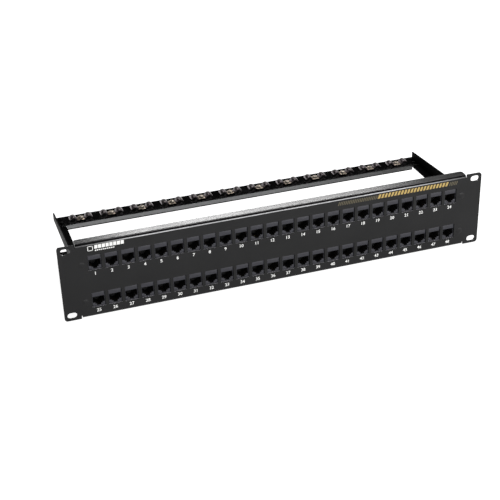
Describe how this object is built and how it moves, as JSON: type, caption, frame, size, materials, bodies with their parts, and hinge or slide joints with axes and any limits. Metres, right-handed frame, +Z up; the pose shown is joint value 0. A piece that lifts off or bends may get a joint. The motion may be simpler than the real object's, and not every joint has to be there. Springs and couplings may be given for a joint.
{
  "type": "rack patch panel",
  "caption": "Rack-mounted feed-through modular-jack patch panel with folded steel plate, rear bracket arms and cable bars with screwed cable saddles.",
  "frame": {"origin": "middle of the front plate's rear face, the plane that seats on the rack posts", "axes": "+X to the right seen from the front, +Y towards the back of the rack, +Z up"},
  "size_m": [0.4826, 0.1366, 0.0882],
  "materials": {
    "powder_coated_steel": "satin black powder coat",
    "black_bracket_steel": "smooth glossy black coat on bent steel strip",
    "jack_moulding": "moulded dark grey thermoplastic",
    "board_laminate": "green solder mask on glass laminate",
    "zinc_plated_steel": "bright zinc plate",
    "plated_saddle_steel": "plated spring steel with yellow passivated screw",
    "gold_plated_contacts": "gold flash on phosphor bronze spring wire",
    "screen_print_ink": "screen-printed ink"
  },
  "bodies": {
    "root": {"front_plate": "powder_coated_steel", "upper_front_jack_block_1": "jack_moulding", "upper_circuit_board_1": "board_laminate", "upper_rear_jack_block_1": "jack_moulding", "upper_front_jack_block_2": "jack_moulding", "upper_circuit_board_2": "board_laminate", "upper_rear_jack_block_2": "jack_moulding", "upper_front_jack_block_3": "jack_moulding", "upper_circuit_board_3": "board_laminate", "upper_rear_jack_block_3": "jack_moulding", "upper_front_jack_block_4": "jack_moulding", "upper_circuit_board_4": "board_laminate", "upper_rear_jack_block_4": "jack_moulding", "upper_left_arm": "black_bracket_steel", "upper_left_arm_nut": "zinc_plated_steel", "upper_right_arm": "black_bracket_steel", "upper_right_arm_nut": "zinc_plated_steel", "upper_cable_bar": "black_bracket_steel", "upper_saddle_01": "plated_saddle_steel", "upper_saddle_02": "plated_saddle_steel", "upper_saddle_03": "plated_saddle_steel", "upper_saddle_04": "plated_saddle_steel", "upper_saddle_05": "plated_saddle_steel", "upper_saddle_06": "plated_saddle_steel", "upper_saddle_07": "plated_saddle_steel", "upper_saddle_08": "plated_saddle_steel", "upper_saddle_09": "plated_saddle_steel", "upper_saddle_10": "plated_saddle_steel", "upper_saddle_11": "plated_saddle_steel", "upper_saddle_12": "plated_saddle_steel", "lower_front_jack_block_1": "jack_moulding", "lower_circuit_board_1": "board_laminate", "lower_rear_jack_block_1": "jack_moulding", "lower_front_jack_block_2": "jack_moulding", "lower_circuit_board_2": "board_laminate", "lower_rear_jack_block_2": "jack_moulding", "lower_front_jack_block_3": "jack_moulding", "lower_circuit_board_3": "board_laminate", "lower_rear_jack_block_3": "jack_moulding", "lower_front_jack_block_4": "jack_moulding", "lower_circuit_board_4": "board_laminate", "lower_rear_jack_block_4": "jack_moulding", "lower_left_arm": "black_bracket_steel", "lower_left_arm_nut": "zinc_plated_steel", "lower_right_arm": "black_bracket_steel", "lower_right_arm_nut": "zinc_plated_steel", "lower_cable_bar": "black_bracket_steel", "lower_saddle_01": "plated_saddle_steel", "lower_saddle_02": "plated_saddle_steel", "lower_saddle_03": "plated_saddle_steel", "lower_saddle_04": "plated_saddle_steel", "lower_saddle_05": "plated_saddle_steel", "lower_saddle_06": "plated_saddle_steel", "lower_saddle_07": "plated_saddle_steel", "lower_saddle_08": "plated_saddle_steel", "lower_saddle_09": "plated_saddle_steel", "lower_saddle_10": "plated_saddle_steel", "lower_saddle_11": "plated_saddle_steel", "lower_saddle_12": "plated_saddle_steel"}
  },
  "joints": []
}
